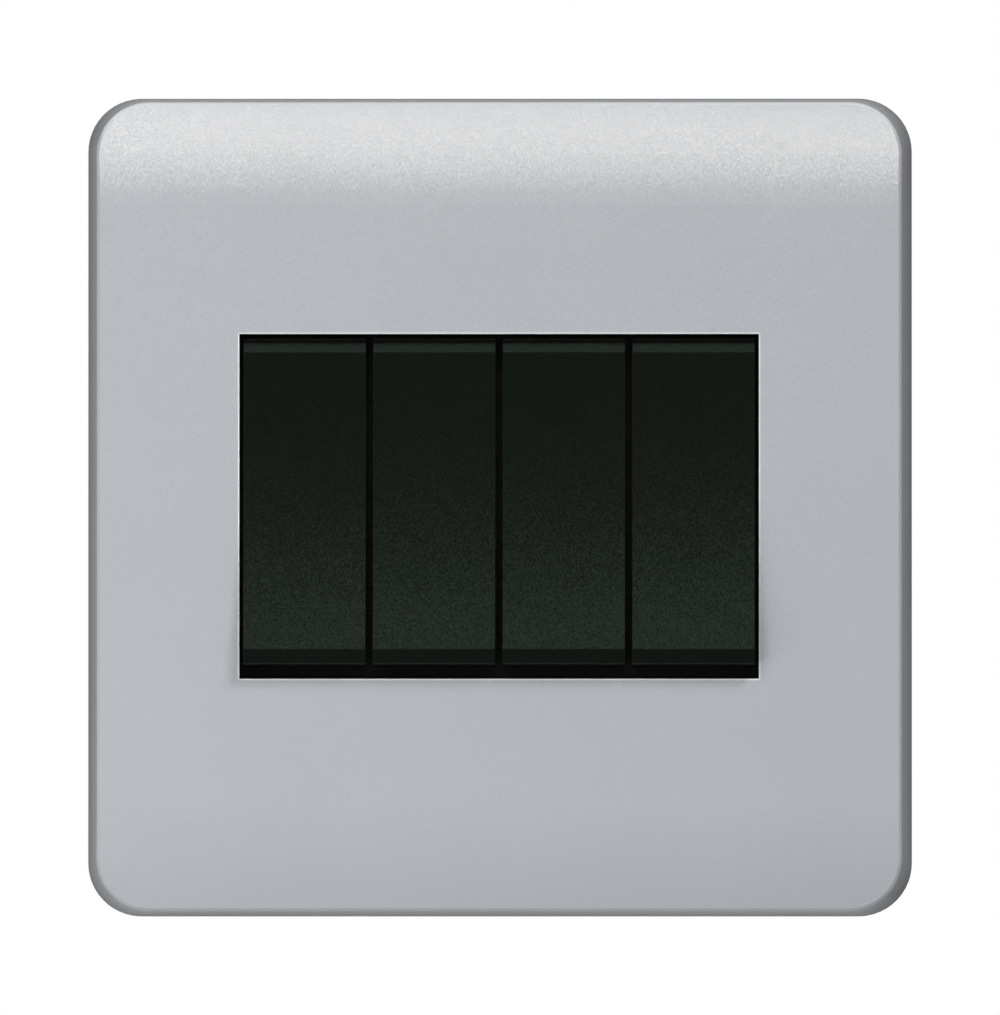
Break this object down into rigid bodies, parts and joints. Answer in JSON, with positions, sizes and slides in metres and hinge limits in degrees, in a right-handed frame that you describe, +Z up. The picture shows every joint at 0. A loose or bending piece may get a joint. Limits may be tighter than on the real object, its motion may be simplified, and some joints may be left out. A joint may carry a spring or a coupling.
{
  "type": "four-gang rocker light switch",
  "caption": "Square wall light switch: satin silver plate, bowed at top and bottom, around a row of matte black rockers, with a mounting frame and terminal base behind",
  "frame": {"origin": "middle of the two wall-fixing holes, on the wall plane", "axes": "+X to the right seen from the room, +Y into the wall, +Z up; the front faces -Y"},
  "size_m": [0.086, 0.0271, 0.0854],
  "materials": {
    "silver_paint": "satin metallic silver paint with a fine sparkle, on a plastic moulding",
    "rocker_black": "finely textured matte black",
    "frame_black": "plain moulded black",
    "base_white": "plain moulded white",
    "terminal_brass": "milled brass",
    "contact_copper": "pressed copper strip",
    "plunger_nylon": "natural nylon",
    "spring_steel": "drawn spring wire",
    "screw_steel": "bright zinc plating"
  },
  "bodies": {
    "base": {"front_plate": "silver_paint", "mounting_frame": "frame_black", "switch_base": "base_white", "terminal_screws": "screw_steel", "common_terminal_1": "terminal_brass", "line_terminal_1": "terminal_brass", "common_terminal_2": "terminal_brass", "line_terminal_2": "terminal_brass", "common_terminal_3": "terminal_brass", "line_terminal_3": "terminal_brass", "common_terminal_4": "terminal_brass", "line_terminal_4": "terminal_brass"},
    "rocker_body_1": {"rocker_1": "rocker_black", "spring_1": "spring_steel"},
    "plunger_body_1": {"plunger_1": "plunger_nylon"},
    "bridge_body_1": {"contact_bridge_1": "contact_copper"},
    "rocker_body_2": {"rocker_2": "rocker_black", "spring_2": "spring_steel"},
    "plunger_body_2": {"plunger_2": "plunger_nylon"},
    "bridge_body_2": {"contact_bridge_2": "contact_copper"},
    "rocker_body_3": {"rocker_3": "rocker_black", "spring_3": "spring_steel"},
    "plunger_body_3": {"plunger_3": "plunger_nylon"},
    "bridge_body_3": {"contact_bridge_3": "contact_copper"},
    "rocker_body_4": {"rocker_4": "rocker_black", "spring_4": "spring_steel"},
    "plunger_body_4": {"plunger_4": "plunger_nylon"},
    "bridge_body_4": {"contact_bridge_4": "contact_copper"}
  },
  "joints": [
    {"name": "rocker_1_tilt", "type": "hinge", "parent": "base", "child": "rocker_body_1", "pos_m": [-0.02025, -0.0032, 0], "axis": [1, 0, 0], "range_deg": [0, 10]},
    {"name": "plunger_1_slide", "type": "slide", "parent": "rocker_body_1", "child": "plunger_body_1", "axis": [0, -0.9962, 0.0872], "range_m": [0, 0.0008], "stiffness_N_per_m": 350, "springref_m": -0.003, "deforming": ["spring_1"]},
    {"name": "bridge_1_rock", "type": "hinge", "parent": "base", "child": "bridge_body_1", "pos_m": [-0.02025, 0.0065, 0], "axis": [1, 0, 0], "range_deg": [-20, 0]},
    {"name": "rocker_2_tilt", "type": "hinge", "parent": "base", "child": "rocker_body_2", "pos_m": [-0.00675, -0.0032, 0], "axis": [1, 0, 0], "range_deg": [0, 10]},
    {"name": "plunger_2_slide", "type": "slide", "parent": "rocker_body_2", "child": "plunger_body_2", "axis": [0, -0.9962, 0.0872], "range_m": [0, 0.0008], "stiffness_N_per_m": 350, "springref_m": -0.003, "deforming": ["spring_2"]},
    {"name": "bridge_2_rock", "type": "hinge", "parent": "base", "child": "bridge_body_2", "pos_m": [-0.00675, 0.0065, 0], "axis": [1, 0, 0], "range_deg": [-20, 0]},
    {"name": "rocker_3_tilt", "type": "hinge", "parent": "base", "child": "rocker_body_3", "pos_m": [0.00675, -0.0032, 0], "axis": [1, 0, 0], "range_deg": [0, 10]},
    {"name": "plunger_3_slide", "type": "slide", "parent": "rocker_body_3", "child": "plunger_body_3", "axis": [0, -0.9962, 0.0872], "range_m": [0, 0.0008], "stiffness_N_per_m": 350, "springref_m": -0.003, "deforming": ["spring_3"]},
    {"name": "bridge_3_rock", "type": "hinge", "parent": "base", "child": "bridge_body_3", "pos_m": [0.00675, 0.0065, 0], "axis": [1, 0, 0], "range_deg": [-20, 0]},
    {"name": "rocker_4_tilt", "type": "hinge", "parent": "base", "child": "rocker_body_4", "pos_m": [0.02025, -0.0032, 0], "axis": [1, 0, 0], "range_deg": [0, 10]},
    {"name": "plunger_4_slide", "type": "slide", "parent": "rocker_body_4", "child": "plunger_body_4", "axis": [0, -0.9962, 0.0872], "range_m": [0, 0.0008], "stiffness_N_per_m": 350, "springref_m": -0.003, "deforming": ["spring_4"]},
    {"name": "bridge_4_rock", "type": "hinge", "parent": "base", "child": "bridge_body_4", "pos_m": [0.02025, 0.0065, 0], "axis": [1, 0, 0], "range_deg": [-20, 0]}
  ],
  "couplings": [
    {"joint": "bridge_1_rock", "follows": "rocker_1_tilt", "ratio": -2},
    {"joint": "bridge_2_rock", "follows": "rocker_2_tilt", "ratio": -2},
    {"joint": "bridge_3_rock", "follows": "rocker_3_tilt", "ratio": -2},
    {"joint": "bridge_4_rock", "follows": "rocker_4_tilt", "ratio": -2}
  ]
}
